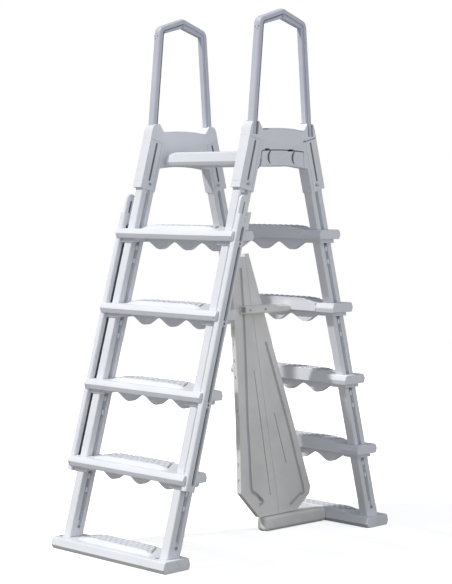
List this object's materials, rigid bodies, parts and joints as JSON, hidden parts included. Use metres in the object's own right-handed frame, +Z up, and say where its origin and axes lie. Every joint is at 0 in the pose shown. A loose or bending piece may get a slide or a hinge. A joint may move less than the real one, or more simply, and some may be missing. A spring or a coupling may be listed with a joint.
{
  "type": "pool ladder",
  "caption": "Two-sided freestanding pool ladder with a platform, looped handrails, a lifting outer step section and a side barrier panel.",
  "frame": {"origin": "on the floor, midway between the two bases and between the two handrails", "axes": "+Z up, +X to the right of a climber on the outer ladder, +Y from the outer ladder toward the pool"},
  "size_m": [0.597, 1.1644, 1.872],
  "materials": {
    "resin": "moulded, fine satin",
    "handrail_resin": "moulded, satin, a shade darker than the rest",
    "barrier_resin": "moulded, satin",
    "steel": "plain"
  },
  "bodies": {
    "frame": {"barrier_arm": "barrier_resin", "barrier_foot": "barrier_resin", "barrier_panel_front": "barrier_resin", "barrier_panel_rear": "barrier_resin", "barrier_screw_far": "steel", "barrier_screw_near": "steel", "base_front": "resin", "base_rear": "resin", "casing_bolt_front_left": "steel", "casing_bolt_front_right": "steel", "casing_bolt_rear_left": "steel", "casing_bolt_rear_right": "steel", "casing_front_left": "resin", "casing_front_right": "resin", "casing_rear_left": "resin", "casing_rear_right": "resin", "foot_bolt_front_left": "steel", "foot_bolt_front_right": "steel", "foot_bolt_rear_left": "steel", "foot_bolt_rear_right": "steel", "handrail_left": "handrail_resin", "handrail_right": "handrail_resin", "platform": "resin", "platform_pin_left": "steel", "platform_pin_right": "steel", "rail_front_left": "resin", "rail_front_right": "resin", "rail_rear_left": "resin", "rail_rear_right": "resin", "saddle_left": "resin", "saddle_right": "resin", "stop_pin_left": "steel", "stop_pin_right": "steel", "tread_pin_left_1": "steel", "tread_pin_left_2": "steel", "tread_pin_left_3": "steel", "tread_pin_left_4": "steel", "tread_pin_right_1": "steel", "tread_pin_right_2": "steel", "tread_pin_right_3": "steel", "tread_pin_right_4": "steel", "tread_rear_1": "resin", "tread_rear_2": "resin", "tread_rear_3": "resin", "tread_rear_4": "resin"},
    "step_section": {"slide_rail_left": "resin", "slide_rail_right": "resin", "tread_front_1": "resin", "tread_front_2": "resin", "tread_front_3": "resin", "tread_front_4": "resin"},
    "latch_left": {"slide_latch_left": "resin"},
    "latch_right": {"slide_latch_right": "resin"}
  },
  "joints": [
    {"name": "step_section_lift", "type": "slide", "parent": "frame", "child": "step_section", "axis": [0, 0.2659, 0.964], "range_m": [0, 0.09]},
    {"name": "latch_left_slide", "type": "slide", "parent": "step_section", "child": "latch_left", "axis": [-1, 0, 0], "range_m": [-0.012, 0]},
    {"name": "latch_right_slide", "type": "slide", "parent": "step_section", "child": "latch_right", "axis": [1, 0, 0], "range_m": [-0.012, 0]}
  ]
}
